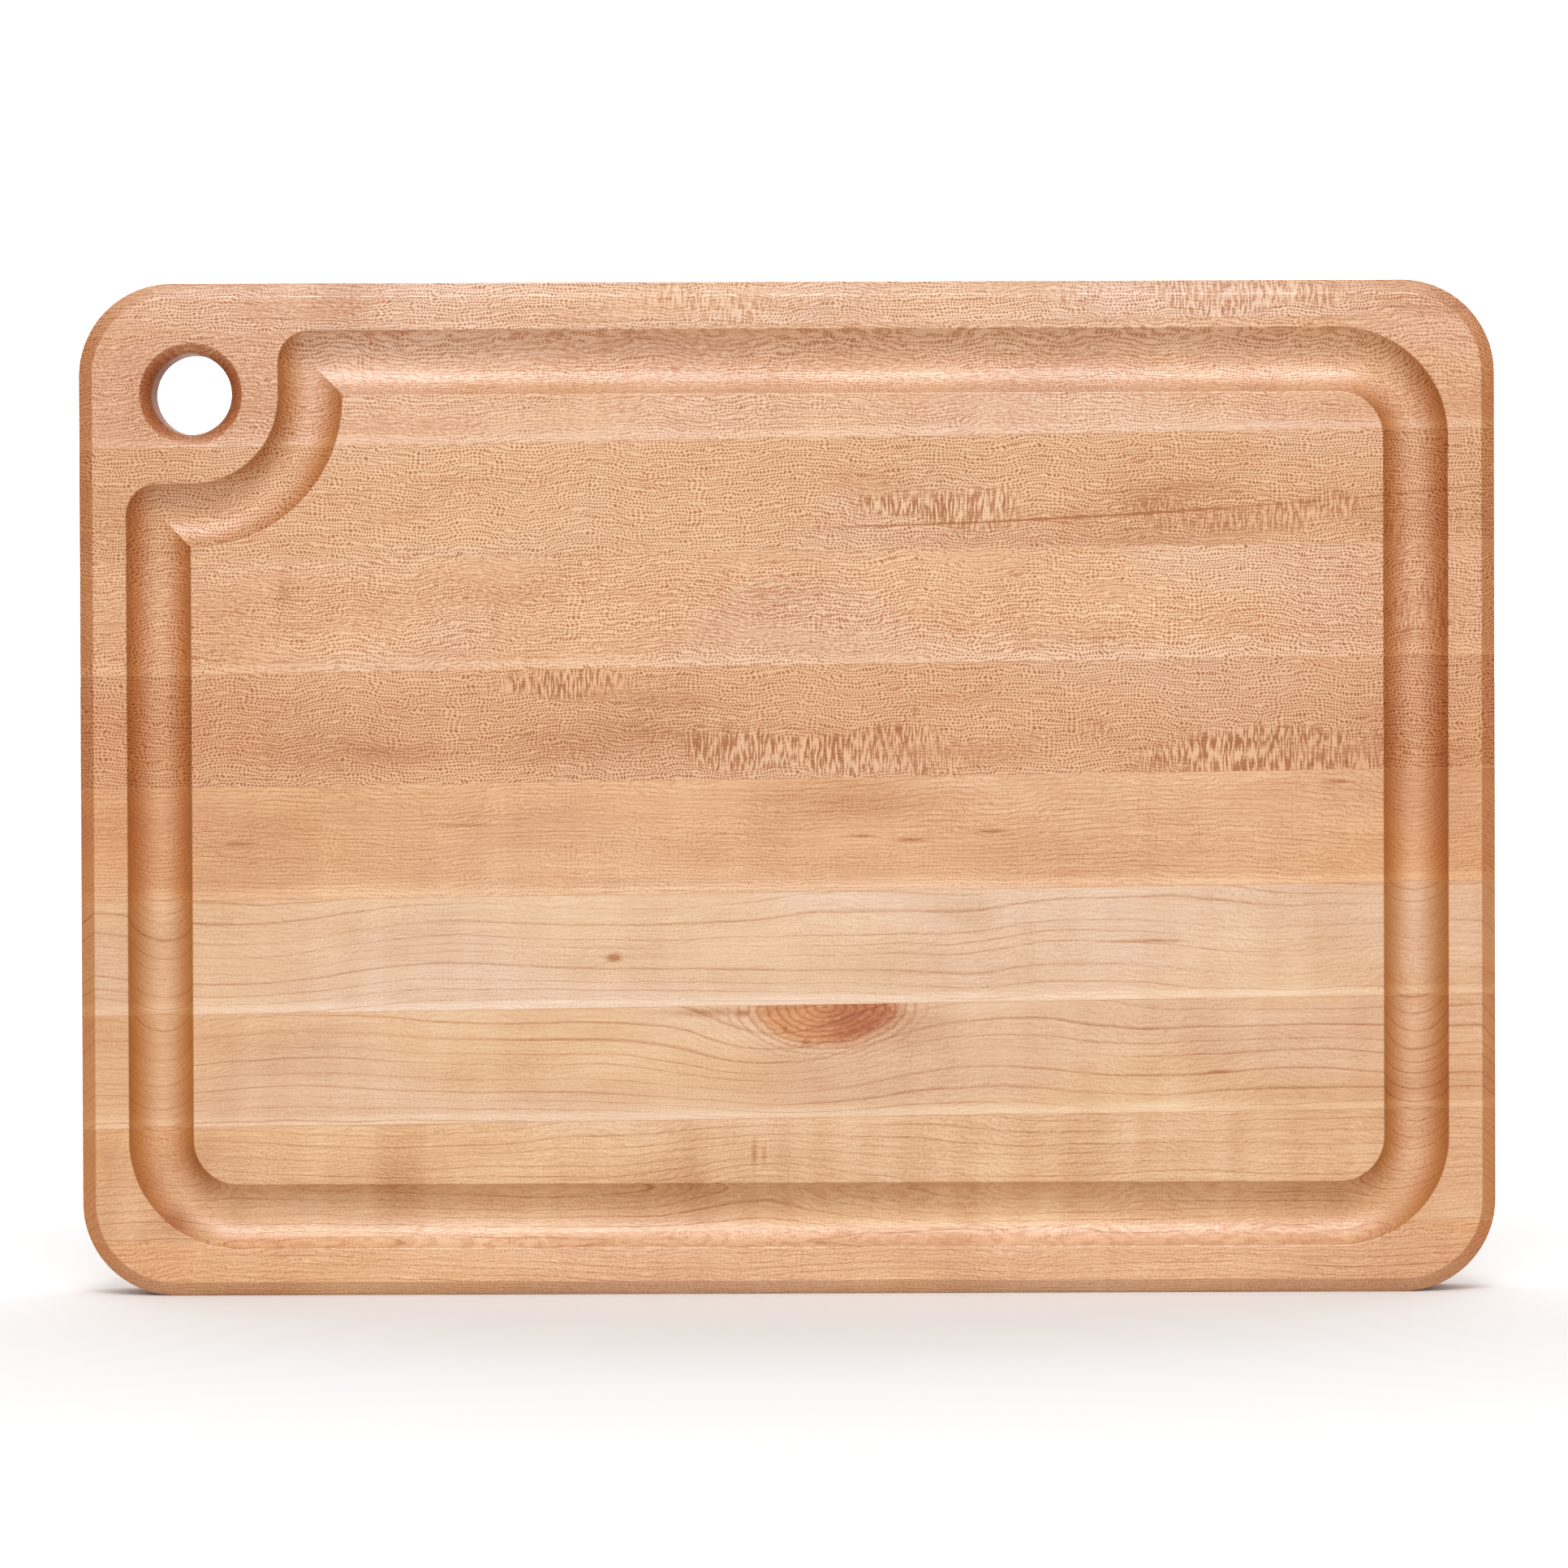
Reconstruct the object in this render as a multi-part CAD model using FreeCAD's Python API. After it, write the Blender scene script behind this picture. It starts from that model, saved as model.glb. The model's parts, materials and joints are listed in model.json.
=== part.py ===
import FreeCAD, Part
import math
import os

# Overall size. The board stands upright on one long edge: X runs along its length,
# Z runs up its width, and the grooved face looks toward -Y.
BOARD_LENGTH = 426.0
BOARD_HEIGHT = 305.0
BOARD_THICKNESS = 38.0
CORNER_RADIUS = 28.0
EDGE_BEVEL = 4.2

# Edge-glued staves, numbered from the top edge down. The glue joints are not quite
# parallel to the trimmed edges, so the first and last staves taper along their length.
# Stave widths are square to the joints, taken at the middle of the board.
STAVE_COUNT = 10
STAVE_PITCH = 34.1
TOP_STAVE_WIDTH = 13.1
JOINT_TILT_DEGREES = 0.72
GLUE_THICKNESS = 0.15

# Hanging hole, placed from the left and top edges. Both rims are eased by an arc that
# starts at a slope on the face and ends along the wall of the bore.
HOLE_FROM_LEFT = 33.9
HOLE_FROM_TOP = 33.4
HOLE_RADIUS = 12.0
HOLE_EASE_WIDTH = 3.5
HOLE_EASE_START_DEGREES = 35.0

# Juice groove of a ball-nose cutter. Insets are from the board's edges: to the middle
# of the groove, and to the centre of the detour that it makes round the hanging hole.
GROOVE_HALF_WIDTH = 9.65
GROOVE_DEPTH = 7.5
GROOVE_LIP_BREAK = 0.4
GROOVE_INSET = 24.0
GROOVE_TURN_RADIUS = 23.2
DETOUR_CENTRE_INSET = 34.2
DETOUR_RADIUS = 35.6

# How far a cutting solid reaches past the surface that it cuts.
OVERCUT = 10.0

QUARTER_TURN = 90.0
FULL_TURN = 360.0
ORIGIN = FreeCAD.Vector(0, 0, 0)
DEPTH_AXIS = FreeCAD.Vector(0, 1, 0)

# Places that follow from the dimensions above.
HALF_LENGTH = BOARD_LENGTH / 2.0
HALF_THICKNESS = BOARD_THICKNESS / 2.0
HOLE_X = HOLE_FROM_LEFT - HALF_LENGTH
HOLE_Z = BOARD_HEIGHT - HOLE_FROM_TOP


def line(start, end):
    """Straight edge between two points of the XY plane."""
    return Part.makeLine(FreeCAD.Vector(*start), FreeCAD.Vector(*end))


def arc(start, middle, end):
    """Circular edge through three points of the XY plane."""
    points = [FreeCAD.Vector(*point) for point in (start, middle, end)]
    return Part.Arc(*points).toShape()


def crosses_thickness(edge):
    """True for an edge that runs from the front face to the back face."""
    return edge.BoundBox.YLength > HALF_THICKNESS


def rounded_blank():
    """Full-thickness board with round corners and a flat bevel round both faces."""
    corner = FreeCAD.Vector(-HALF_LENGTH, -HALF_THICKNESS, 0)
    slab = Part.makeBox(BOARD_LENGTH, BOARD_THICKNESS, BOARD_HEIGHT, corner)
    corner_edges = [edge for edge in slab.Edges if crosses_thickness(edge)]
    rounded = slab.makeFillet(CORNER_RADIUS, corner_edges)
    rim_edges = [edge for edge in rounded.Edges if not crosses_thickness(edge)]
    return rounded.makeChamfer(EDGE_BEVEL, rim_edges)


def hole_cutter():
    """Solid of the bore and of its eased rims on the front and back faces."""
    rim = HOLE_RADIUS + HOLE_EASE_WIDTH
    start = math.radians(HOLE_EASE_START_DEGREES)
    radius = HOLE_EASE_WIDTH / (1.0 - math.sin(start))
    wall_end = HALF_THICKNESS - radius * math.cos(start)
    half_way = (start + math.pi / 2.0) / 2.0
    middle_x = HOLE_RADIUS + radius * (1.0 - math.sin(half_way))
    middle = (middle_x, wall_end + radius * math.cos(half_way))
    outer_y = HALF_THICKNESS + OVERCUT
    outline = [
        line((0, outer_y), (rim, outer_y)),
        line((rim, outer_y), (rim, HALF_THICKNESS)),
        arc((rim, HALF_THICKNESS), middle, (HOLE_RADIUS, wall_end)),
        line((HOLE_RADIUS, wall_end), (HOLE_RADIUS, 0)),
        line((HOLE_RADIUS, 0), (0, 0)),
        line((0, 0), (0, outer_y)),
    ]
    back_half = Part.Face(Part.Wire(outline)).revolve(ORIGIN, DEPTH_AXIS, FULL_TURN)
    front_half = back_half.mirror(ORIGIN, DEPTH_AXIS)
    cutter = back_half.fuse(front_half)
    cutter.translate(FreeCAD.Vector(HOLE_X, 0, HOLE_Z))
    return cutter


def groove_section():
    """Cross-section of the groove, lip to lip.

    X is the distance from the middle of the groove, and Y is the board's own Y.
    """
    ball_radius = (GROOVE_HALF_WIDTH**2 + GROOVE_DEPTH**2) / (2.0 * GROOVE_DEPTH)
    ball_y = -HALF_THICKNESS + GROOVE_DEPTH - ball_radius
    break_y = -HALF_THICKNESS + GROOVE_LIP_BREAK
    wall_x = math.sqrt(ball_radius**2 - (break_y - ball_y) ** 2)
    lip_x = wall_x + GROOVE_LIP_BREAK
    outer_y = -HALF_THICKNESS - OVERCUT
    outline = [
        arc((-wall_x, break_y), (0, ball_y + ball_radius), (wall_x, break_y)),
        line((wall_x, break_y), (lip_x, -HALF_THICKNESS)),
        line((lip_x, -HALF_THICKNESS), (lip_x, outer_y)),
        line((lip_x, outer_y), (-lip_x, outer_y)),
        line((-lip_x, outer_y), (-lip_x, -HALF_THICKNESS)),
        line((-lip_x, -HALF_THICKNESS), (-wall_x, break_y)),
    ]
    return Part.Face(Part.Wire(outline))


def left_half(section):
    """The half of a cross-section that lies left of its middle."""
    corner = FreeCAD.Vector(-BOARD_THICKNESS, -BOARD_THICKNESS, -HALF_THICKNESS)
    left_side = Part.makeBox(BOARD_THICKNESS, BOARD_THICKNESS, BOARD_THICKNESS, corner)
    return section.common(left_side).Faces[0]


def straight_run(length):
    """Groove cut along +Z, and the step that leads to its end."""
    solid = groove_section().extrude(FreeCAD.Vector(0, 0, length))
    step = FreeCAD.Placement(FreeCAD.Vector(0, 0, length), FreeCAD.Rotation())
    return solid, step


def turn_about(centre, degrees):
    """Step that swings the cutter about an upright point of its path."""
    return FreeCAD.Placement(ORIGIN, FreeCAD.Rotation(DEPTH_AXIS, degrees), centre)


def round_turn(radius, degrees):
    """Groove cut round a bend, to the right when degrees is positive."""
    centre = FreeCAD.Vector(math.copysign(radius, degrees), 0, 0)
    solid = groove_section().revolve(centre, DEPTH_AXIS, degrees)
    return solid, turn_about(centre, degrees)


def sharp_right_turn():
    """Cutter turning on the spot: it only rounds the outer side of the corner."""
    solid = left_half(groove_section()).revolve(ORIGIN, DEPTH_AXIS, QUARTER_TURN)
    return solid, turn_about(ORIGIN, QUARTER_TURN)


def groove_moves():
    """The cutter's path clockwise from the foot of the left run, as seen in front."""
    low_z = GROOVE_INSET + GROOVE_TURN_RADIUS
    high_z = BOARD_HEIGHT - low_z
    detour_reach = DETOUR_CENTRE_INSET + DETOUR_RADIUS
    detour_lead = DETOUR_CENTRE_INSET - GROOVE_INSET
    right_end_x = HALF_LENGTH - low_z
    return [
        straight_run(BOARD_HEIGHT - detour_reach - low_z),
        sharp_right_turn(),
        straight_run(detour_lead),
        round_turn(DETOUR_RADIUS, -QUARTER_TURN),
        straight_run(detour_lead),
        sharp_right_turn(),
        straight_run(right_end_x + HALF_LENGTH - detour_reach),
        round_turn(GROOVE_TURN_RADIUS, QUARTER_TURN),
        straight_run(high_z - low_z),
        round_turn(GROOVE_TURN_RADIUS, QUARTER_TURN),
        straight_run(2.0 * right_end_x),
        round_turn(GROOVE_TURN_RADIUS, QUARTER_TURN),
    ]


def groove_cutter():
    """One solid with every stretch of the groove placed end to end."""
    start = FreeCAD.Vector(GROOVE_INSET - HALF_LENGTH, 0, GROOVE_INSET + GROOVE_TURN_RADIUS)
    place = FreeCAD.Placement(start, FreeCAD.Rotation())
    stretches = []
    for solid, step in groove_moves():
        solid.Placement = place.multiply(solid.Placement)
        stretches.append(solid)
        place = place.multiply(step)
    return stretches[0].fuse(stretches[1:])


def layer(top_depth, bottom_depth):
    """Slab between two depths below the top edge, lying parallel to the joints."""
    slab = Part.makeBox(
        BOARD_LENGTH + 2.0 * OVERCUT,
        BOARD_THICKNESS + 2.0 * OVERCUT,
        bottom_depth - top_depth,
        FreeCAD.Vector(-HALF_LENGTH - OVERCUT, -HALF_THICKNESS - OVERCUT, -bottom_depth),
    )
    slab.rotate(ORIGIN, DEPTH_AXIS, -JOINT_TILT_DEGREES)
    slab.translate(FreeCAD.Vector(0, 0, BOARD_HEIGHT))
    return slab


def stave_layers():
    """One slab for each stave, leaving room for the glue between neighbours."""
    half_glue = GLUE_THICKNESS / 2.0
    joints = joint_depths()
    tops = [-OVERCUT] + [depth + half_glue for depth in joints]
    bottoms = [depth - half_glue for depth in joints] + [BOARD_HEIGHT + OVERCUT]
    return [layer(top, bottom) for top, bottom in zip(tops, bottoms)]


def glue_layers():
    """One thin slab for each glue joint."""
    half_glue = GLUE_THICKNESS / 2.0
    return [layer(depth - half_glue, depth + half_glue) for depth in joint_depths()]


def joint_depths():
    """Depth of each joint's middle below the top edge, square to the joints."""
    return [TOP_STAVE_WIDTH + STAVE_PITCH * number for number in range(STAVE_COUNT - 1)]


def export_slices(board, layers, name):
    """Write the part of the board inside each layer as a numbered piece."""
    for number, slab in enumerate(layers, start=1):
        piece = board.common(slab).Solids[0]
        piece.exportStep(f"parts/{name}_{number:02d}.step")


def main():
    os.makedirs("parts", exist_ok=True)
    board = rounded_blank().cut(hole_cutter()).cut(groove_cutter())
    export_slices(board, stave_layers(), "stave")
    export_slices(board, glue_layers(), "glue_line")


main()
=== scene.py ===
import cmath
import json
import math

import bmesh
import bpy
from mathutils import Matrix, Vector


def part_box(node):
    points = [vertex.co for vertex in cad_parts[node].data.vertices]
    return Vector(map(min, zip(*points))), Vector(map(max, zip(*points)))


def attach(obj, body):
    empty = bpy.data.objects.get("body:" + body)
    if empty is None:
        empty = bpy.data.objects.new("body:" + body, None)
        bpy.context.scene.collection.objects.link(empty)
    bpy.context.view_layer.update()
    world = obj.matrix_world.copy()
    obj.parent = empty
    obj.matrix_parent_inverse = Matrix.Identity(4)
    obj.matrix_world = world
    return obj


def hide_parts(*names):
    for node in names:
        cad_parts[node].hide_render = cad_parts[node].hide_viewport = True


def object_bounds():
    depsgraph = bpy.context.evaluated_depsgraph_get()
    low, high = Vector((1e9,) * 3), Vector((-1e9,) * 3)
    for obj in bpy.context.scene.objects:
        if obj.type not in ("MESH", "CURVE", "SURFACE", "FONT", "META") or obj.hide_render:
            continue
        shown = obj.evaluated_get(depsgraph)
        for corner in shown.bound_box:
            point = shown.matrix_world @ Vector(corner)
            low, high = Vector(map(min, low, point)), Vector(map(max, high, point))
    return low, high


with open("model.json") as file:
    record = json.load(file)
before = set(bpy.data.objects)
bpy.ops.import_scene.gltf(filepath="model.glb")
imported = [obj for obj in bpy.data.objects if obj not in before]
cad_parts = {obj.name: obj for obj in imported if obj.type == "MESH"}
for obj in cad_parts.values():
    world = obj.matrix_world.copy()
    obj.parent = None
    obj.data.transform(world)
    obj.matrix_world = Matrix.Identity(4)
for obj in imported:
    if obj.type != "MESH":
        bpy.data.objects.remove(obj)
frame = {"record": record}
CAD_LOW, CAD_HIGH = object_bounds()

# ---------------------------------------------------------------------------------
# Sizes, in metres. The board's overall sizes come from the frame.
MM = 0.001

LEFT_X = CAD_LOW.x
RIGHT_X = CAD_HIGH.x
FRONT_Y = CAD_LOW.y
BACK_Y = CAD_HIGH.y
FOOT_Z = CAD_LOW.z
TOP_Z = CAD_HIGH.z
MIDDLE = (CAD_LOW + CAD_HIGH) / 2

CORNER_RADIUS = 28.0 * MM
EDGE_BEVEL = 4.2 * MM
EDGE_SOFTNESS = 0.7 * MM

HOLE = next(m for m in frame["record"]["mounts"] if m["name"] == "hang_hole")
HOLE_X = HOLE["pos_m"][0]
HOLE_Z = HOLE["pos_m"][2]
HOLE_RADIUS = HOLE["dims"]["r_mm"] * MM

# The arc that eases the hole's rims leaves the face at this angle.
HOLE_EASE_WIDTH = 3.5 * MM
HOLE_EASE_START = math.radians(35)

# The groove's middle line runs this far inside the board's edges.
GROOVE_INSET = 24.0 * MM
GROOVE_HALF_WIDTH = 9.65 * MM
GROOVE_DEPTH = 7.5 * MM
GROOVE_TURN_RADIUS = 23.2 * MM
GROOVE_LIP_RADIUS = 0.45 * MM

# It goes round the hole in a quarter circle, centred this far from two edges.
DETOUR_CENTRE_INSET = 34.2 * MM
DETOUR_RADIUS = 35.6 * MM

# The groove's section is an arc of this radius, and its centre is this far above the
# face.
BALL_RADIUS = (GROOVE_HALF_WIDTH**2 + GROOVE_DEPTH**2) / (2 * GROOVE_DEPTH)
BALL_RISE = BALL_RADIUS - GROOVE_DEPTH

STAVE_COUNT = 10
MIDDLE_JOINT = STAVE_COUNT // 2
GLUE_THICKNESS = 0.15 * MM

# How finely curves are cut up.
CORNER_STEPS = 28
BEVEL_STEPS = 4
HOLE_STEPS = 112
HOLE_EASE_STEPS = 12
BALL_STEPS = 15
LIP_STEPS = 5
MITRE_STEPS = 10
FAN_STEPS = 12
TURN_STEP = math.radians(3)

# Two points closer than this are one vertex.
WELD = 2e-6

# A face whose normal is this close to the Y axis lies on the front or back.
FLAT = 0.99999

# Faces that meet at more than this angle show a sharp edge.
SHARP_ANGLE = math.radians(24)


# ---------------------------------------------------------------------------------
# Shape of the finished board

def rounded_line(points, radius, steps):
    """A polyline with each inner corner turned into a short arc."""
    result = [points[0]]
    for before, corner, after in zip(points, points[1:], points[2:]):
        corner = complex(*corner)
        back = complex(*before) - corner
        ahead = complex(*after) - corner
        back /= abs(back)
        ahead /= abs(ahead)
        half_angle = abs(cmath.phase(ahead / back)) / 2
        middle = (back + ahead) / abs(back + ahead)
        centre = corner + middle * (radius / math.sin(half_angle))
        first = corner + back * (radius / math.tan(half_angle)) - centre
        last = corner + ahead * (radius / math.tan(half_angle)) - centre
        sweep = cmath.phase(last / first)
        for step in range(steps + 1):
            spot = centre + first * cmath.exp(1j * sweep * step / steps)
            result.append((spot.real, spot.imag))
    result.append(points[-1])
    return result


def outline(inset):
    """Points of the board's rounded outline, moved in by inset, as (x, z)."""
    radius = CORNER_RADIUS - inset
    corners = [
        (RIGHT_X - CORNER_RADIUS, FOOT_Z + CORNER_RADIUS, -90),
        (RIGHT_X - CORNER_RADIUS, TOP_Z - CORNER_RADIUS, 0),
        (LEFT_X + CORNER_RADIUS, TOP_Z - CORNER_RADIUS, 90),
        (LEFT_X + CORNER_RADIUS, FOOT_Z + CORNER_RADIUS, 180),
    ]
    points = []
    for x, z, first_angle in corners:
        for step in range(CORNER_STEPS + 1):
            angle = math.radians(first_angle + 90 * step / CORNER_STEPS)
            points.append((x + radius * math.cos(angle), z + radius * math.sin(angle)))
    return points


def ring(mesh, points, y):
    """Vertices at the (x, z) points and the depth y."""
    return [mesh.verts.new((x, y, z)) for x, z in points]


def join_rings(mesh, rings):
    """Quads from each closed ring of vertices to the next."""
    for first, second in zip(rings, rings[1:]):
        count = len(first)
        for here in range(count):
            after = (here + 1) % count
            mesh.faces.new((first[here], first[after], second[after], second[here]))


def ring_edges(mesh, verts):
    """The edges that join a closed ring of vertices."""
    return [mesh.edges.get(pair) for pair in zip(verts, verts[1:] + verts[:1])]


def add_rim(mesh):
    """The board's edge, with both bevels. Returns its back ring."""
    flat = EDGE_BEVEL + 2 * EDGE_SOFTNESS
    corners = [
        (flat, FRONT_Y),
        (EDGE_BEVEL, FRONT_Y),
        (0, FRONT_Y + EDGE_BEVEL),
        (0, BACK_Y - EDGE_BEVEL),
        (EDGE_BEVEL, BACK_Y),
        (flat, BACK_Y),
    ]
    section = rounded_line(corners, EDGE_SOFTNESS, BEVEL_STEPS)
    rings = [ring(mesh, outline(inset), y) for inset, y in section]
    join_rings(mesh, rings)
    return rings[-1]


def hole_ease():
    """The arc that eases the hole's rim, from the face inwards, as (radius, depth)."""
    arc = HOLE_EASE_WIDTH / (1 - math.sin(HOLE_EASE_START))
    depth = arc * math.cos(HOLE_EASE_START)
    points = []
    for step in range(HOLE_EASE_STEPS + 1):
        share = step / HOLE_EASE_STEPS
        angle = HOLE_EASE_START + (math.pi / 2 - HOLE_EASE_START) * share
        reach = HOLE_RADIUS + arc * (1 - math.sin(angle))
        points.append((reach, depth - arc * math.cos(angle)))
    return points


def add_hole(mesh):
    """The hanging hole's wall, eased at both rims. Returns its back ring."""
    ease = hole_ease()
    section = [(reach, FRONT_Y + depth) for reach, depth in ease]
    section += [(reach, BACK_Y - depth) for reach, depth in reversed(ease)]
    angles = [math.tau * step / HOLE_STEPS for step in range(HOLE_STEPS)]
    rings = []
    for reach, y in section:
        points = [
            (HOLE_X + reach * math.cos(a), HOLE_Z + reach * math.sin(a)) for a in angles
        ]
        rings.append(ring(mesh, points, y))
    join_rings(mesh, rings)
    return rings[-1]


def groove_section():
    """Half of the groove's section from its middle to the lip, as (offset, depth)."""
    lip_rise = BALL_RISE + GROOVE_LIP_RADIUS
    lip_offset = math.sqrt((BALL_RADIUS + GROOVE_LIP_RADIUS) ** 2 - lip_rise**2)
    wall_angle = math.atan2(lip_offset, lip_rise)
    points = []
    for step in range(BALL_STEPS + 1):
        angle = wall_angle * step / BALL_STEPS
        offset = BALL_RADIUS * math.sin(angle)
        points.append((offset, BALL_RADIUS * math.cos(angle) - BALL_RISE))
    for step in range(1, LIP_STEPS + 1):
        angle = wall_angle * (1 - step / LIP_STEPS)
        offset = lip_offset - GROOVE_LIP_RADIUS * math.sin(angle)
        points.append((offset, GROOVE_LIP_RADIUS - GROOVE_LIP_RADIUS * math.cos(angle)))
    return points


def depth_at(offset, section):
    """The groove's depth at this offset from its middle."""
    for (inner, deep), (outer, shallow) in zip(section, section[1:]):
        if offset <= outer:
            share = (offset - inner) / (outer - inner)
            return deep + share * (shallow - deep)
    return 0.0


def groove_row(section, spot, ahead, right_reach):
    """One row across the groove: (position, depth) pairs from left lip to right lip.

    spot is the path's point and ahead its direction, as complex numbers x + iz. The
    right side is squeezed to right_reach, where another stretch cuts it off.
    """
    lip = section[-1][0]
    left = [(spot + 1j * ahead * offset, depth) for offset, depth in section]
    squeeze = right_reach / lip
    right = [
        (spot - 1j * ahead * offset * squeeze, depth_at(offset * squeeze, section))
        for offset, depth in section
    ]
    return left[::-1] + right[1:]


def groove_rows():
    """Rows across the groove all the way round, clockwise as seen in front."""
    section = groove_section()
    lip = section[-1][0]
    mitre = [lip * k / MITRE_STEPS for k in range(1, MITRE_STEPS + 1)]
    rows = []
    spot = complex(LEFT_X + GROOVE_INSET, FOOT_Z + GROOVE_INSET + GROOVE_TURN_RADIUS)
    ahead = 1j

    def straight(length, from_corner=False, to_corner=False):
        """A straight run. At a sharp corner its right side is cut off at 45 degrees."""
        nonlocal spot
        if from_corner:
            for reach in mitre:
                rows.append(groove_row(section, spot + ahead * reach, ahead, reach))
        if to_corner:
            for reach in reversed(mitre):
                place = spot + ahead * (length - reach)
                rows.append(groove_row(section, place, ahead, reach))
        spot += ahead * length

    def turn(radius, degrees):
        """A rounded turn, to the left if degrees is above 0."""
        nonlocal spot, ahead
        side = 1j if degrees > 0 else -1j
        centre = spot + side * ahead * radius
        sweep = math.radians(degrees)
        steps = round(abs(sweep) / TURN_STEP)
        first = ahead
        for k in range(steps + 1):
            ahead = first * cmath.rect(1, sweep * k / steps)
            spot = centre - side * ahead * radius
            rows.append(groove_row(section, spot, ahead, lip))

    def corner():
        """A sharp turn to the right: only the left side fans round."""
        nonlocal ahead
        first = ahead
        for k in range(FAN_STEPS + 1):
            ahead = first * cmath.rect(1, -math.pi / 2 * k / FAN_STEPS)
            rows.append(groove_row(section, spot, ahead, 0.0))

    width = RIGHT_X - LEFT_X
    height = TOP_Z - FOOT_Z
    end = GROOVE_INSET + GROOVE_TURN_RADIUS
    detour_reach = DETOUR_CENTRE_INSET + DETOUR_RADIUS
    lead = DETOUR_CENTRE_INSET - GROOVE_INSET
    straight(height - end - detour_reach, to_corner=True)
    corner()
    straight(lead, from_corner=True)
    turn(DETOUR_RADIUS, 90)
    straight(lead, to_corner=True)
    corner()
    straight(width - end - detour_reach, from_corner=True)
    turn(GROOVE_TURN_RADIUS, -90)
    straight(height - 2 * end)
    turn(GROOVE_TURN_RADIUS, -90)
    straight(width - 2 * end)
    turn(GROOVE_TURN_RADIUS, -90)
    return rows


def add_groove(mesh):
    """The groove's surface: a strip that closes on itself."""
    rows = [
        [mesh.verts.new((at.real, FRONT_Y + depth, at.imag)) for at, depth in row]
        for row in groove_rows()
    ]
    for row, after in zip(rows, rows[1:] + rows[:1]):
        for k in range(len(row) - 1):
            mesh.faces.new((row[k], row[k + 1], after[k + 1], after[k]))
    own_verts = [vert for row in rows for vert in row]
    bmesh.ops.remove_doubles(mesh, verts=own_verts, dist=WELD)


def board_mesh():
    """The finished board as one closed mesh, before it is cut into staves."""
    mesh = bmesh.new()
    add_groove(mesh)
    back_rim = add_rim(mesh)
    back_hole = add_hole(mesh)
    back_edges = ring_edges(mesh, back_rim) + ring_edges(mesh, back_hole)
    back_set = set(back_edges)
    front_edges = [e for e in mesh.edges if e.is_boundary and e not in back_set]
    for edges, normal in ((front_edges, (0, -1, 0)), (back_edges, (0, 1, 0))):
        bmesh.ops.triangle_fill(mesh, edges=edges, use_beauty=True, normal=normal)
    bmesh.ops.recalc_face_normals(mesh, faces=mesh.faces)
    return mesh


# ---------------------------------------------------------------------------------
# Staves and glue lines

def joint_line():
    """(height at mid-length, pitch, slope) of the glue joints, from the CAD boxes."""
    low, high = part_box(f"glue_line_{MIDDLE_JOINT:02d}")
    above_low, above_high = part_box(f"glue_line_{MIDDLE_JOINT - 1:02d}")
    height = (low.z + high.z) / 2
    pitch = (above_low.z + above_high.z) / 2 - height
    slope = (high.z - low.z - GLUE_THICKNESS) / (high.x - low.x)
    return height, pitch, slope


JOINT_HEIGHT, STAVE_PITCH, JOINT_SLOPE = joint_line()


def joint_height(number):
    """Height of a glue joint's middle at the middle of the board."""
    return JOINT_HEIGHT + (MIDDLE_JOINT - number) * STAVE_PITCH


def cut_away(mesh, height, upward):
    """Cut off what is above (or below) a plane along the joints, and cap the cut."""
    normal = Vector((-JOINT_SLOPE, 0, 1)).normalized()
    if not upward:
        normal.negate()
    bmesh.ops.bisect_plane(
        mesh,
        geom=mesh.verts[:] + mesh.edges[:] + mesh.faces[:],
        dist=WELD / 10,
        plane_co=(0, 0, height),
        plane_no=normal,
        clear_outer=True,
    )
    open_edges = [edge for edge in mesh.edges if edge.is_boundary]
    bmesh.ops.triangle_fill(mesh, edges=open_edges, normal=normal)


def slice_board(board, top, bottom, name):
    """A new object: the part of the board between two heights (None is its edge)."""
    mesh = board.copy()
    if top is not None:
        cut_away(mesh, top, upward=True)
    if bottom is not None:
        cut_away(mesh, bottom, upward=False)
    bmesh.ops.recalc_face_normals(mesh, faces=mesh.faces)
    for face in mesh.faces:
        face.smooth = abs(face.normal.y) < FLAT
    data = bpy.data.meshes.new(name)
    mesh.to_mesh(data)
    mesh.free()
    data.set_sharp_from_angle(angle=SHARP_ANGLE)
    piece = bpy.data.objects.new(name, data)
    bpy.context.scene.collection.objects.link(piece)
    return piece


# ---------------------------------------------------------------------------------
# Node sums written as plain arithmetic

class Field:
    """A number that varies over the surface: one output socket of a node tree."""

    def __init__(self, tree, socket):
        self.tree = tree
        self.socket = socket

    def math(self, operation, *others):
        """A Math node's result, with this as its first number."""
        node = self.tree.nodes.new("ShaderNodeMath")
        node.operation = operation
        for socket, value in zip(node.inputs, (self, *others)):
            feed(self.tree, socket, value)
        return Field(self.tree, node.outputs[0])

    def __add__(self, other):
        return self.math("ADD", other)

    def __sub__(self, other):
        return self.math("SUBTRACT", other)

    def __mul__(self, other):
        return self.math("MULTIPLY", other)

    def __truediv__(self, other):
        return self.math("DIVIDE", other)

    def __rsub__(self, other):
        return (self * -1.0) + other

    __radd__ = __add__

    def unsigned(self):
        """The number without its sign."""
        return self.math("ABSOLUTE")

    def between(self, low, high):
        """0 below low, 1 above high, and smooth in between."""
        node = self.tree.nodes.new("ShaderNodeMapRange")
        node.interpolation_type = "SMOOTHSTEP"
        feed(self.tree, node.inputs["Value"], self)
        node.inputs["From Min"].default_value = low
        node.inputs["From Max"].default_value = high
        return Field(self.tree, node.outputs["Result"])

    def bell(self, centre, width):
        """1 where this is centre, falling to nothing a few widths away."""
        away = (self - centre) / width
        return (away * away * -1.0).math("EXPONENT")


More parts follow.
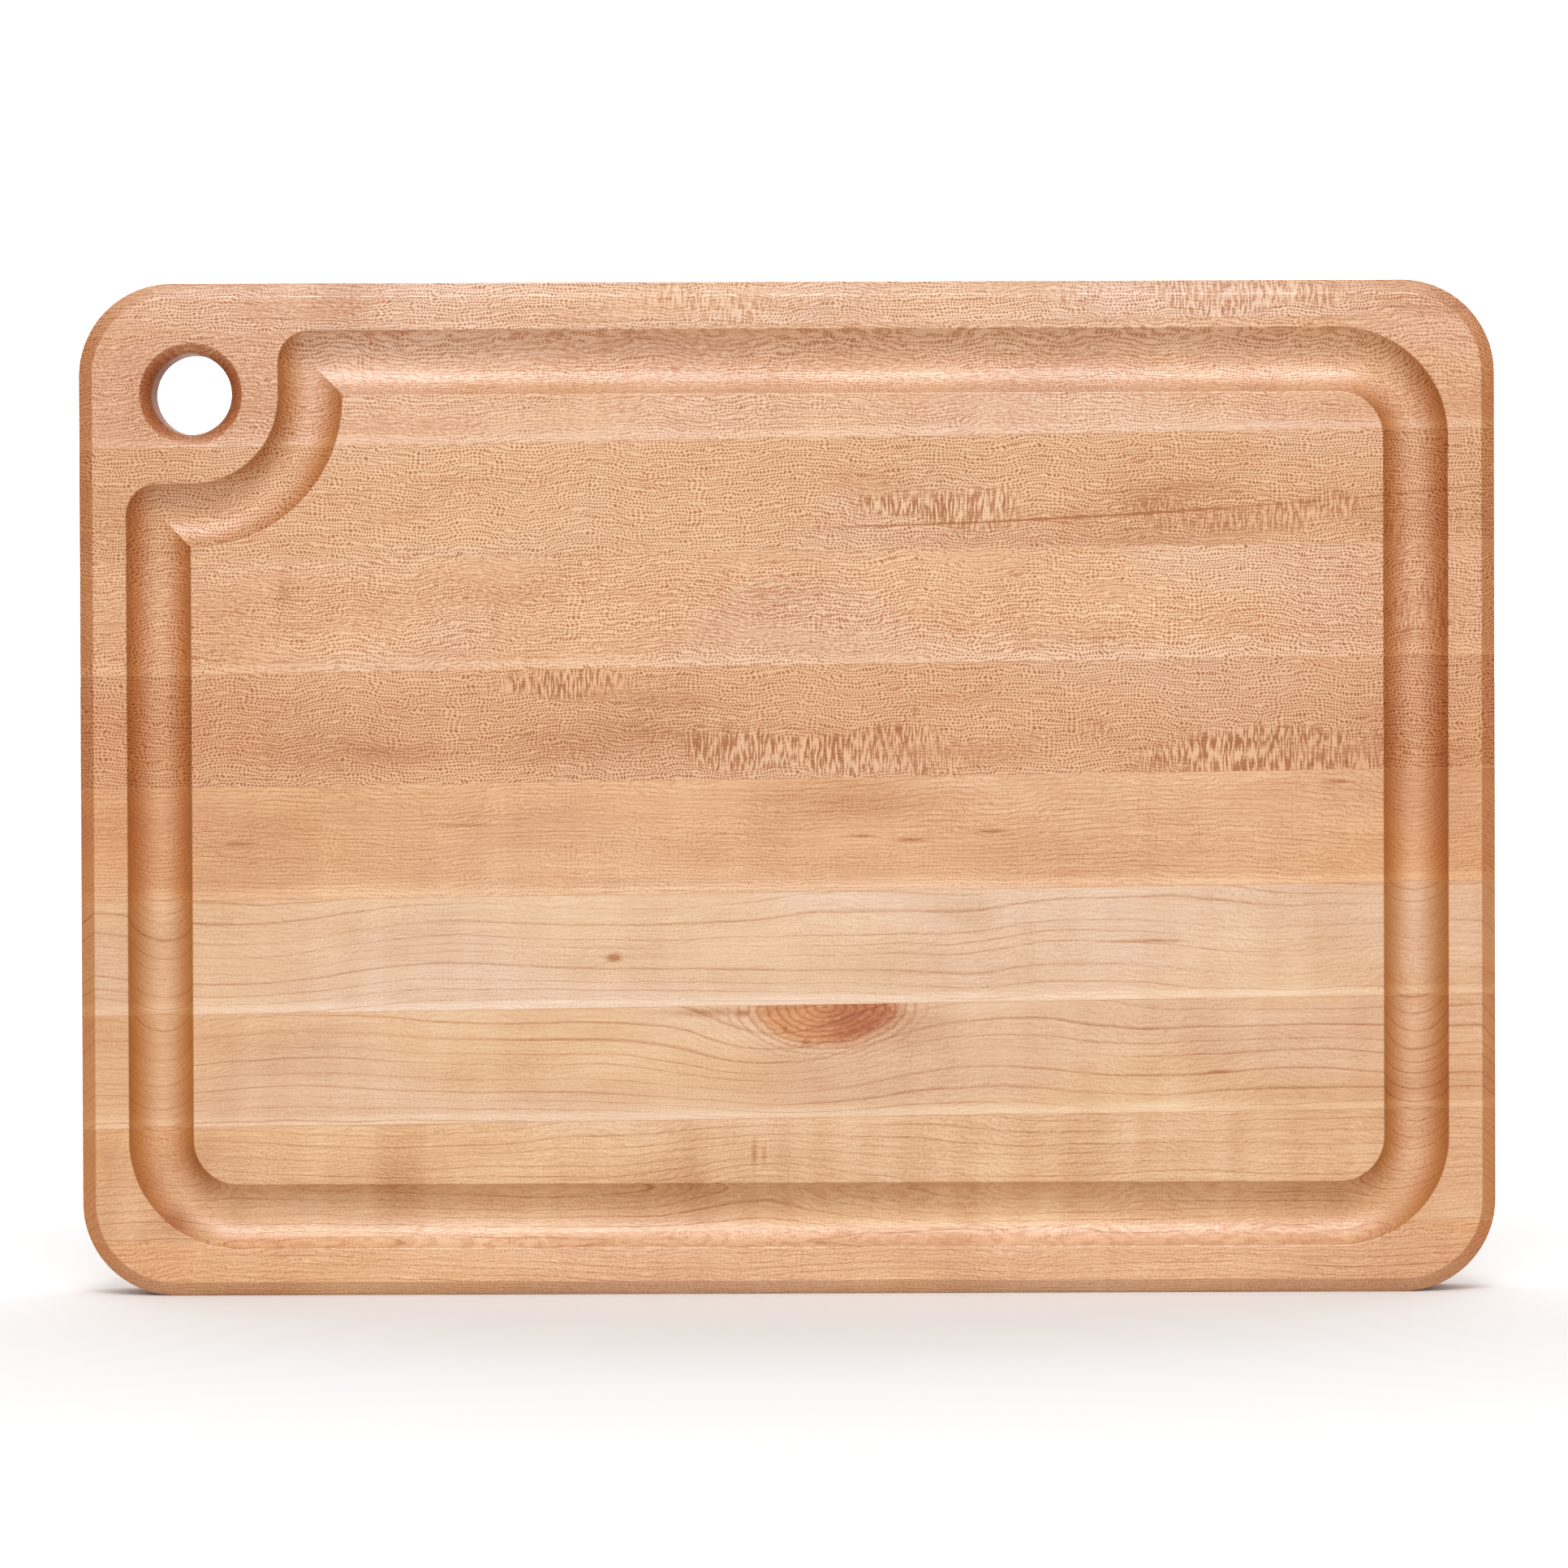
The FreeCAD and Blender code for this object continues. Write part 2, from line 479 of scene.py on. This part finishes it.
def feed(tree, socket, value):
    """Link a field, or set a plain number."""
    if isinstance(value, Field):
        tree.links.new(value.socket, socket)
    else:
        socket.default_value = value


def distance(across, up):
    """The length of a vector with these two parts."""
    return (across * across + up * up).math("SQRT")


def noise(x, y, z, detail):
    """Noise from 0 to 1 about 0.5 that changes over about one unit of x, y and z.

    So in noise(x / 5.0, y / 2.0, z / 1.0, detail=0.0) the blots are about 5 mm long in
    x, 2 mm in y and 1 mm in z. Each step of detail adds noise half that size.
    """
    tree = x.tree
    place = tree.nodes.new("ShaderNodeCombineXYZ")
    for socket, value in zip(place.inputs, (x, y, z)):
        feed(tree, socket, value)
    node = tree.nodes.new("ShaderNodeTexNoise")
    node.inputs["Scale"].default_value = 1.0
    node.inputs["Detail"].default_value = detail
    tree.links.new(place.outputs[0], node.inputs["Vector"])
    return Field(tree, node.outputs["Fac"])


def axes(tree, vector):
    """The three parts of a vector, as fields."""
    node = tree.nodes.new("ShaderNodeSeparateXYZ")
    tree.links.new(vector, node.inputs[0])
    return [Field(tree, out) for out in node.outputs]


def new_material(name):
    """A new material, and its Principled shader node."""
    material = bpy.data.materials.new(name)
    material.use_nodes = True
    return material, material.node_tree.nodes["Principled BSDF"]


# ---------------------------------------------------------------------------------
# Colour

# What the studio makes of a base colour: light on the face, and sheen on top of it.
FACE_LIGHT = 1.19
FACE_SHEEN = 0.04
DARKEST_BASE = 0.01

# A stave has its own tint at the neutral shade. These are the factors on the tint at a
# shade of 0 and of 1.
NEUTRAL_SHADE = 0.4
PALE = (1.22, 1.46, 1.72)
DARK = (0.60, 0.40, 0.23)

# A Mix node has a set of sockets for each kind of data. These are the colour ones.
MIX_FIRST = 6
MIX_SECOND = 7
MIX_RESULT = 2


def studio_colour(screen):
    """The base colour that shows as this 0 to 255 screen colour on the lit face."""
    lit = [((c / 255 + 0.055) / 1.055) ** 2.4 for c in screen]
    return [max((c - FACE_SHEEN) / FACE_LIGHT, DARKEST_BASE) for c in lit]


def tones(shade, tint):
    """The wood's colour: pale at a shade of 0, tint at NEUTRAL_SHADE, dark at 1."""
    middle = studio_colour(tint)
    node = shade.tree.nodes.new("ShaderNodeValToRGB")
    ramp = node.color_ramp
    stops = ((0.0, PALE), (NEUTRAL_SHADE, (1, 1, 1)), (1.0, DARK))
    while len(ramp.elements) < len(stops):
        ramp.elements.new(0.5)
    for element, (position, factor) in zip(ramp.elements, stops):
        element.position = position
        element.color = (*(c * f for c, f in zip(middle, factor)), 1.0)
    feed(shade.tree, node.inputs["Fac"], shade)
    return node.outputs["Color"]


def tinted(colour, share, tint):
    """The colour multiplied by tint where share is 1, and as it was where it is 0."""
    node = share.tree.nodes.new("ShaderNodeMix")
    node.data_type = "RGBA"
    node.blend_type = "MULTIPLY"
    feed(share.tree, node.inputs["Factor"], share)
    share.tree.links.new(colour, node.inputs[MIX_FIRST])
    node.inputs[MIX_SECOND].default_value = (*tint, 1.0)
    return node.outputs[MIX_RESULT]


# ---------------------------------------------------------------------------------
# Maple. Lengths in this section are millimetres.

FACE_Y = FRONT_Y / MM
HALF_LENGTH = RIGHT_X / MM
HOLE_CENTRE = (HOLE_X / MM, HOLE_Z / MM)
HOLE_RIM = (HOLE_RADIUS + HOLE_EASE_WIDTH) / MM

# How far along the grain each stave's noise lies from its neighbour's.
SEED_STEP = 37.0

# Distance between the rows of cells, and between the rays that cross them.
ROW_PITCH = 0.95
RAY_PITCH = 1.1

WOOD_ROUGHNESS = 0.42
WOOD_IOR = 1.45
BUMP_STRENGTH = 0.5
BUMP_HEIGHT = 0.05

# The face darkens and reddens this far in from each end of the board.
ENDS_REACH = 103.0

# The scorch is this soft at the rim, and it fades in over these depths from mid-board.
SCORCH_EDGE = 0.4
SCORCH_FADE = (11.0, 14.0)

# Factors on the colour.
GOLDEN = (1.0, 0.97, 0.87)
ENDS_TINT = (0.92, 0.83, 0.74)
# Surfaces that face along the grain: partly the end grain's own darker, redder colour,
# partly painted shade on the side walls of the groove and hole and on the end bevels.
END_GRAIN_AND_SIDE_SHADE = (0.74, 0.48, 0.21)
SCORCHED = (0.80, 0.60, 0.44)
KNOT_GOLD = (0.86, 0.62, 0.38)
KNOT_RED = (0.76, 0.54, 0.50)
KNOT_RING = (0.70, 0.48, 0.34)


class Grain:
    """The grain of one stave, as fields over its surface.

    x runs along the board from its middle, y through it from its middle, and z up from
    the stave's middle. The noise is read at along, so that no two staves look the same.
    """

    def __init__(self, tree, position, wood):
        self.wood = wood
        self.x, self.y, height = (axis / MM for axis in axes(tree, position))
        self.z = height - wood["middle"]
        self.seed = wood["seed"] * SEED_STEP
        self.along = self.x + self.seed
        along, y, z = self.along, self.y, self.z
        self.wander = noise(along / 70.0, y / 50.0, z / 30.0, detail=0.0) - 0.5
        self.waves = noise(along / 26.0, y / 20.0, z / 12.0, detail=1.0) - 0.5
        self.cloud = noise(along / 50.0, y / 30.0, z / 12.0, detail=1.0) - 0.5
        self.radius = self.from_pith()
        self.rows, self.rays = self.weave()
        self.ripple = self.ripples()

    def spots(self, places, total):
        """The total plus a soft spot at each (x, z, width, height, strength)."""
        for x, z, wide, high, strength in places:
            total = total + self.x.bell(x, wide) * self.z.bell(z, high) * strength
        return total

    def from_pith(self):
        """Distance from the pith line, which wanders; the grain bends round knots."""
        behind, above = self.wood["pith"]
        across = self.y - (FACE_Y + behind) + self.wander * self.wood["wander"]
        up = self.z - above + self.waves * self.wood["waves"]
        for x, z, wide, high, lift in self.wood["bends"]:
            up = up - self.x.bell(x, wide) * self.z.bell(z, high) * lift
        return distance(across, up)

    def weave(self):
        """Wavy rows of cells along the grain, and the rays that cross them.

        bow, sway and lean are counted in rows or rays. The rows bow over the stave's
        whole height, and sway in small patches. The noise for lean is read elsewhere, or
        it would follow the noise for sway.
        """
        along, y, z = self.along, self.y, self.z
        elsewhere = z / 2.5 + 40.0
        bow = noise(along / 24.0, y / 50.0, z / 200.0, detail=0.0) * 6.0
        sway = noise(along / 5.0, y / 5.0, z / 1.8, detail=1.0) * 2.2
        lean = noise(along / 6.0, y / 5.0, elsewhere, detail=0.0) * 3.4
        rows = ((self.radius / ROW_PITCH + bow + sway) * math.tau).math("SINE")
        rays = ((along / RAY_PITCH + lean) * math.tau).math("SINE")
        return rows, rays

    def ripples(self):
        """Short ripples that slant one way and then the other, on top of the weave."""
        slant = self.waves.between(-0.05, 0.05) * 1.6 - 0.8
        start = self.along / 1.3 + self.z * slant
        ripple = noise(start, self.y / 0.5, self.z / 0.42, detail=0.0)
        ripple = ripple.between(0.36, 0.64) - 0.5
        return ripple * 0.6 + self.rows * 0.3 + self.rays * 0.1

    def late_wood(self):
        """Growth rings: each year ends in a thin line of dark late wood."""
        start = self.radius / 6.0 + self.seed
        drift = noise(start, self.x / 500.0, 0.0, detail=0.0) - 0.5
        rings = self.radius / self.wood["ring_width"] + drift * 1.5
        season = rings.math("FRACT")
        late = season.between(0.80, 0.95) * (1.0 - season.between(0.95, 1.0))

        # every year's line is as strong as the noise at its own number makes it
        year = rings.math("FLOOR") * 0.73 + self.seed
        vigour = noise(year, self.x / 120.0, 0.0, detail=0.0)
        return late * (0.35 + vigour.between(0.3, 0.65) * 0.65)

    def ray_marks(self):
        """Rays are ribbons along the grain, seen as dots or, cut flat, as flecks."""
        along, y, z = self.along, self.y, self.z
        cover = noise(along / 38.0, y / 10.0, self.radius / 8.0, detail=0.0)
        strength = self.spots(self.wood["figure"], cover.between(*self.wood["cover"]))
        marks = (self.rows + self.rays).between(0.2, 1.4) * 1.3 - 0.35
        if self.wood["flecks"]:
            flecks = noise(along / 0.55, z / 4.0 + self.waves, y / 5.0, detail=0.0)
            flecks = flecks.between(0.35, 0.65) * 0.9 - 0.45
            zone = self.spots(self.wood["flecks"], self.waves * 1.8).between(0.2, 0.7)
            marks = marks + (flecks - marks) * zone
        return marks * strength

    def shade(self):
        """How dark the wood is, with NEUTRAL_SHADE for its own tint."""
        wood = self.wood
        along, y, z = self.along, self.y, self.z
        curl = noise(along / 7.0, y / 40.0, z / 50.0, detail=0.0) - 0.5
        fibre = noise(along / 20.0, y / 0.6, z / 0.6, detail=1.0) - 0.5
        shade = (
            self.cloud * wood["cloud"]
            + curl * wood["curl"]
            + self.late_wood() * wood["ring_tone"]
            + self.ray_marks() * wood["ray_tone"]
            + self.ripple * wood["ripple"]
            + fibre * wood["fibre"]
            + NEUTRAL_SHADE
        )
        shade = self.spots(wood["patches"], shade)
        for start, fade, base, slope, curve, width, strength in wood["lines"]:
            ahead = self.x - start
            gap = z - base - ahead * (ahead * curve + slope)
            line = gap.bell(0.0, width) * ahead.between(0.0, fade)
            shade = shade + line * strength
        return shade


def with_knot(colour, grain, knot):
    """The colour with a knot: a darker core, ringed, that fades into the wood."""
    across = (grain.x - knot["centre"][0]) / knot["reach"][0]
    up = (grain.z - knot["centre"][1]) / knot["reach"][1]
    away = distance(across, up) + grain.waves * 0.35
    fine = noise(grain.x / 1.8, up * 2.0, grain.z / 1.8, detail=1.0) - 0.5
    ring = (away * 7.5 + fine * 0.7).math("FRACT")
    lines = ring.between(0.35, 0.8) * (1.0 - ring.between(0.82, 1.0))
    lines = lines * (1.0 - away.between(0.9, 1.6))
    core = (1.0 - away.between(0.75, 1.1)) * (1.0 + fine * 1.3)
    red = core * across.between(-0.25, 0.3)
    colour = tinted(colour, core, KNOT_GOLD)
    colour = tinted(colour, red, KNOT_RED)
    return tinted(colour, lines * 0.75, KNOT_RING)


def with_scorch(colour, grain):
    """The colour with the eased rims of the hole scorched, as by the router."""
    across = grain.x - HOLE_CENTRE[0]
    up = grain.z + (grain.wood["middle"] - HOLE_CENTRE[1])
    inside = 1.0 - distance(across, up).between(HOLE_RIM - SCORCH_EDGE, HOLE_RIM)
    near_face = grain.y.unsigned().between(*SCORCH_FADE)
    speckle = noise(grain.along / 0.8, grain.y / 0.8, grain.z / 0.5, detail=1.0)
    return tinted(colour, inside * near_face * speckle.between(0.25, 0.5), SCORCHED)


def maple(name, wood):
    """The material of one stave."""
    material, shader = new_material(name)
    tree = material.node_tree
    place = tree.nodes.new("ShaderNodeTexCoord")
    grain = Grain(tree, place.outputs["Object"], wood)
    colour = tones(grain.shade(), wood["tint"])
    colour = tinted(colour, grain.wander.between(-0.1, 0.2), GOLDEN)
    if wood["knot"]:
        colour = with_knot(colour, grain, wood["knot"])
    if wood["scorched"]:
        colour = with_scorch(colour, grain)

    # the colour darkens and reddens towards both ends of the board
    near_ends = grain.x.unsigned().between(HALF_LENGTH - ENDS_REACH, HALF_LENGTH)
    colour = tinted(colour, near_ends, ENDS_TINT)
    # surfaces facing along the grain turn darker and redder: partly the end grain's own
    # colour, partly painted shade on side-facing walls and bevels
    end = axes(tree, place.outputs["Normal"])[0].unsigned().between(0.0, 0.9)
    colour = tinted(colour, end, END_GRAIN_AND_SIDE_SHADE)

    tree.links.new(colour, shader.inputs["Base Color"])
    rough = WOOD_ROUGHNESS + grain.ripple * 0.12 + grain.cloud * 0.15 + end * 0.25
    feed(tree, shader.inputs["Roughness"], rough)
    shader.inputs["IOR"].default_value = WOOD_IOR
    bump = tree.nodes.new("ShaderNodeBump")
    bump.inputs["Strength"].default_value = BUMP_STRENGTH
    bump.inputs["Distance"].default_value = BUMP_HEIGHT * MM
    feed(tree, bump.inputs["Height"], grain.ripple)
    tree.links.new(bump.outputs["Normal"], shader.inputs["Normal"])
    return material


# What each stave's wood is made of:
#   tint        the lit face's colour on screen
#   pith        how far the pith is behind the face, and above the stave's middle
#   wander      how far the pith line strays from straight
#   waves       how far the grain waves up and down
#   bends       (x, z, width, height, lift) of each bend in the grain
#   ring_width  one year's growth
#   cover       the noise levels at which ray marks start and are at full strength
#   figure      (x, z, width, height, strength) where ray marks are stronger
#   flecks      (x, z, width, height, strength) where the marks are flecks, not dots
#   patches     (x, z, width, height, shade) of each dark (or pale, below 0) patch
#   lines       (start x, fade, z at start, slope, curve, width, shade) of each line
#   knot        the centre and half size of a knot
#   scorched    whether the hole's rims are scorched
# The rest are how much shade the rings, ray marks, ripples, fibres, clouds and cross
# bands of curled grain make.
DEFAULT_WOOD = {
    "wander": 10.0,
    "waves": 2.0,
    "bends": (),
    "ring_width": 2.6,
    "ring_tone": 0.3,
    "cover": (0.3, 0.6),
    "fibre": 0.32,
    "cloud": 0.42,
    "curl": 0.12,
    "figure": (),
    "flecks": (),
    "patches": (),
    "lines": (),
    "knot": None,
    "scorched": False,
}

# A soft pale band along a stave's lower joint. It starts left of the board.
PALE_FOOT = (-240, 1, -18.7, JOINT_SLOPE, 0.0, 1.6, -0.2)

WOODS = (
    {  # 1: quarter sawn, with flecks in two stretches
        "tint": (225, 180, 150),
        "pith": (3.0, -80.0),
        "ray_tone": 0.6,
        "ripple": 0.56,
        "figure": ((-26, -10, 35, 9, 0.6), (134, -10, 40, 9, 0.6)),
        "flecks": ((-26, -9, 36, 9, 0.8), (134, -9, 42, 9, 0.8)),
        "patches": ((-134, -10, 8, 12, 0.16), (198, -10, 20, 20, 0.14)),
    },
    {  # 2: plain and wavy
        "tint": (224, 178, 147),
        "pith": (50.0, 110.0),
        "ring_tone": 0.10,
        "ray_tone": 0.3,
        "ripple": 0.6,
        "patches": ((-175, -4, 30, 15, 0.16),),
        "lines": (PALE_FOOT,),
        "scorched": True,
    },
    {  # 3: rift sawn and densely dotted, with a dark curved line
        "tint": (217, 168, 131),
        "pith": (12.0, -90.0),
        "ray_tone": 0.84,
        "ring_tone": 0.08,
        "ripple": 0.52,
        "cover": (0.1, 0.5),
        "figure": ((47, -3, 26, 5, 0.8),),
        "flecks": ((47, -3, 30, 5, 0.9), (150, -8, 50, 7, 0.6)),
        "patches": (
            (118, -1, 28, 8, 0.34),
            (85, -13, 45, 4, 0.3),
            (100, 12, 55, 4, 0.14),
            (-60, 0, 50, 30, -0.08),
        ),
        "lines": (
            (-5, 40, -10.15, 0.0168, 0.000191, 0.35, 0.95),
            # the same line again, paler, so that it fades to the right
            (100, 50, -6.28, 0.0569, 0.000191, 0.35, -0.5),
        ),
    },
    {  # 4: wavy, dotted towards the lower right
        "tint": (222, 174, 139),
        "pith": (32.0, -95.0),
        "ray_tone": 0.52,
        "ring_tone": 0.06,
        "ripple": 0.68,
        "figure": ((130, -14, 70, 9, 1.0), (165, 2, 50, 14, 0.8)),
        "flecks": ((193, 0, 14, 12, 0.7),),
        "patches": ((-151, 5, 2.5, 5, 0.3),),
        "lines": (PALE_FOOT,),
    },
    {  # 5: the darkest, with the strongest flecks
        "tint": (213, 161, 124),
        "pith": (0.0, -85.0),
        "wander": 34.0,
        "ray_tone": 0.86,
        "cover": (0.1, 0.5),
        "ring_tone": 0.08,
        "ripple": 0.5,
        "figure": (
            (-68, 10, 18, 6, 0.6),
            (11, -9, 40, 9, 0.6),
            (140, -8, 40, 8, 0.6),
        ),
        "flecks": (
            (-62, 12, 34, 5, 1.0),
            (14, -10, 46, 8, 1.0),
            (146, -10, 46, 8, 1.0),
        ),
        "patches": (
            (-140, -8, 38, 6, 0.34),
            (-50, -5, 32, 8, 0.36),
            (185, -4, 22, 14, 0.14),
            (-110, 13, 30, 5, -0.12),
            (150, 11, 40, 5, -0.12),
            (38.4, 3.5, 0.9, 0.9, 0.7),
        ),
    },
    {  # 6: orange tan with fine rings
        "tint": (225, 177, 139),
        "pith": (55.0, 75.0),
        "ring_width": 1.1,
        "ripple": 0.24,
        "ring_tone": 0.5,
        "ray_tone": 0.14,
        "patches": (
            (25, 10, 34, 7, 0.26),
            (-150, -4, 40, 9, 0.12),
            (22, -0.2, 3.5, 0.45, 0.6),
            (36.7, -1.5, 4.5, 0.6, 0.6),
            (61, 1, 4.0, 0.6, 0.6),
            (-99, 3.4, 9, 0.4, 0.4),
            (-166, -2, 3.5, 0.5, 0.5),
            (165, 15.6, 3.0, 0.6, 0.5),
        ),
        "lines": (PALE_FOOT,),
    },
    {  # 7: the palest, with wide rings
        "tint": (230, 194, 165),
        "pith": (59.0, 70.0),
        "ring_width": 3.0,
        "ripple": 0.16,
        "fibre": 0.24,
        "ring_tone": 0.34,
        "ray_tone": 0.06,
        "cloud": 0.3,
        "bends": ((54, 0, 18, 40, -2.2), (-170, 0, 50, 40, -5.0)),
        "patches": (
            (-52.6, -2.6, 2.0, 1.2, 0.9),
            (110, 2, 9, 0.5, 0.5),
            (54, 10, 8, 6, 0.14),
        ),
        "lines": (PALE_FOOT,),
    },
    {  # 8: pale, with half a knot at its upper joint
        "tint": (228, 188, 155),
        "pith": (59.0, 64.0),
        "ring_width": 3.2,
        "ripple": 0.16,
        "fibre": 0.24,
        "ring_tone": 0.40,
        "ray_tone": 0.06,
        "bends": ((0, 14, 34, 26, -13.0),),
        "knot": {"centre": (11, 16.5), "reach": (23, 12)},
        "patches": (
            (129.6, -3.5, 3.0, 0.6, 0.5),
            (-24, 15.0, 13, 1.3, 0.5),
            (-14, 14.5, 1.8, 1.2, 0.4),
            (-1.0, 10.0, 0.9, 0.9, 0.5),
            (5.0, 5.8, 1.3, 0.9, 0.5),
            (36, 11, 14, 6, 0.22),
            (120, 0, 90, 12, 0.06),
        ),
        "lines": (PALE_FOOT,),
    },
    {  # 9: tan with closer rings
        "tint": (228, 185, 147),
        "pith": (59.0, 80.0),
        "ring_width": 2.1,
        "ripple": 0.24,
        "ring_tone": 0.40,
        "ray_tone": 0.06,
        "curl": 0.24,
        "bends": ((-8, -5, 22, 16, 4.5),),
        "patches": (
            (-10.5, 6.6, 0.8, 3.5, 0.5),
            (-7.5, 6.0, 0.7, 3.0, 0.35),
            (-120, 0, 11, 12, 0.18),
            (-30, 2, 8, 10, 0.15),
            (-184, -13, 4.5, 4.0, 0.35),
        ),
    },
    {  # 10: tan with fine rings
        "tint": (229, 181, 143),
        "pith": (59.0, -70.0),
        "ring_width": 1.5,
        "ripple": 0.3,
        "ring_tone": 0.46,
        "ray_tone": 0.12,
    },
)


def stave_wood(number, wood):
    """The material of a stave, with its own seed and middle height."""
    middle = (joint_height(number) + STAVE_PITCH / 2) / MM
    return maple(
        f"maple_{number:02d}", DEFAULT_WOOD | wood | {"seed": number, "middle": middle}
    )


GLUE_TINT = (214, 165, 124)


def dried_glue():
    """Thin lines of cured wood glue."""
    material, shader = new_material("dried_glue")
    tree = material.node_tree
    place = tree.nodes.new("ShaderNodeTexCoord")
    x, y, z = (axis / MM for axis in axes(tree, place.outputs["Object"]))
    patches = noise(x / 30.0, y / 6.0, z / 30.0, detail=3.0)
    tree.links.new(tones(patches, GLUE_TINT), shader.inputs["Base Color"])
    feed(tree, shader.inputs["Roughness"], WOOD_ROUGHNESS + patches * 0.1)
    return material


def add_board():
    """Every stave and glue line, each in place of its CAD node."""
    board = board_mesh()
    glue = dried_glue()
    half_glue = GLUE_THICKNESS / 2
    joints = [joint_height(k) for k in range(1, STAVE_COUNT)]
    tops = [None] + [height - half_glue for height in joints]
    bottoms = [height + half_glue for height in joints] + [None]
    layers = [
        (f"stave_{k:02d}", top, bottom, stave_wood(k, wood))
        for k, (top, bottom, wood) in enumerate(zip(tops, bottoms, WOODS), start=1)
    ]
    layers += [
        (f"glue_line_{k:02d}", height + half_glue, height - half_glue, glue)
        for k, height in enumerate(joints, start=1)
    ]
    for node, top, bottom, material in layers:
        piece = slice_board(board, top, bottom, f"{node}_fine")
        piece.data.materials.append(material)
        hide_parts(node)
        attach(piece, "root")
    board.free()


# ---------------------------------------------------------------------------------
# Stage. The camera stands in front of the board, a little above its middle.

FACE_CENTRE = Vector((MIDDLE.x, FRONT_Y, MIDDLE.z))
AIM_OFFSET = Vector((-0.9 * MM, 0, 1.35 * MM))
CAMERA_DISTANCE = 2.74
CAMERA_RISE = math.radians(1.5)
CAMERA_ROLL = math.radians(0.2)
CAMERA_CLIP_END = 100.0
SENSOR_WIDTH = 36.0

# Width of what the camera sees at the board's face.
FRAME_WIDTH = 471.7 * MM

FLOOR_REACH = 12.0
FLOOR_COLOUR = (0.80, 0.80, 0.80, 1)
FLOOR_ROUGHNESS = 0.95
FLOOR_SPECULAR = 0.1

# The sky's brightness all round, and what is added behind, in front and overhead.
SKY_SIDES = 0.3
SKY_BACK = 2.0
SKY_FRONT = 0.9
SKY_TOP = 0.1

# Name, strength, height above the floor and width of the light as seen from the board,
# both in degrees, and whether it only makes gloss.
KEYS = (
    ("key_front", 0.9, 38, 35, False),
    ("key_top", 1.03, 50, 26, False),
    ("key_gloss", 3.6, 60, 42, True),
)


def add_floor():
    """A white floor, wide enough for every view."""
    data = bpy.data.meshes.new("floor")
    signs = ((-1, -1), (1, -1), (1, 1), (-1, 1))
    corners = [(FLOOR_REACH * x, FLOOR_REACH * y, 0) for x, y in signs]
    data.from_pydata(corners, [], [(0, 1, 2, 3)])
    floor = bpy.data.objects.new("floor", data)
    floor.location.z = FOOT_Z
    bpy.context.scene.collection.objects.link(floor)
    material, shader = new_material("floor_white")
    shader.inputs["Base Color"].default_value = FLOOR_COLOUR
    shader.inputs["Roughness"].default_value = FLOOR_ROUGHNESS
    shader.inputs["Specular IOR Level"].default_value = FLOOR_SPECULAR
    data.materials.append(material)


def add_sky():
    """A white studio: brightest behind the board, dimmer at the sides."""
    world = bpy.data.worlds.new("studio")
    world.use_nodes = True
    tree = world.node_tree
    place = tree.nodes.new("ShaderNodeTexCoord")
    _, towards_back, up = axes(tree, place.outputs["Generated"])
    strength = (
        SKY_SIDES
        + towards_back.between(0.15, 0.75) * SKY_BACK
        + (towards_back * -1.0).between(0.5, 0.95) * SKY_FRONT
        + up.between(0.2, 0.95) * SKY_TOP
    )
    background = tree.nodes["Background"]
    background.inputs["Color"].default_value = (1, 1, 1, 1)
    feed(tree, background.inputs["Strength"], strength)
    bpy.context.scene.world = world


def add_keys():
    """Wide soft suns in front of the board and above it."""
    for name, strength, rise, spread, gloss_only in KEYS:
        data = bpy.data.lights.new(name, "SUN")
        data.energy = strength
        data.angle = math.radians(spread)
        key = bpy.data.objects.new(name, data)
        bpy.context.scene.collection.objects.link(key)
        key.visible_diffuse = not gloss_only
        key.rotation_euler = (math.radians(90 - rise), 0, 0)


def add_camera():
    """The camera, at the photograph's viewing angle."""
    data = bpy.data.cameras.new("camera")
    data.sensor_width = SENSOR_WIDTH
    data.lens = SENSOR_WIDTH * CAMERA_DISTANCE / FRAME_WIDTH
    data.clip_end = CAMERA_CLIP_END
    camera = bpy.data.objects.new("camera", data)
    bpy.context.scene.collection.objects.link(camera)
    away = Vector((0, -math.cos(CAMERA_RISE), math.sin(CAMERA_RISE)))
    camera.location = FACE_CENTRE + AIM_OFFSET + away * CAMERA_DISTANCE
    camera.rotation_euler = (math.pi / 2 - CAMERA_RISE, CAMERA_ROLL, 0)
    bpy.context.scene.camera = camera


add_board()
add_floor()
add_sky()
add_keys()
add_camera()
bpy.context.scene.view_settings.view_transform = "Standard"

bpy.context.view_layer.update()
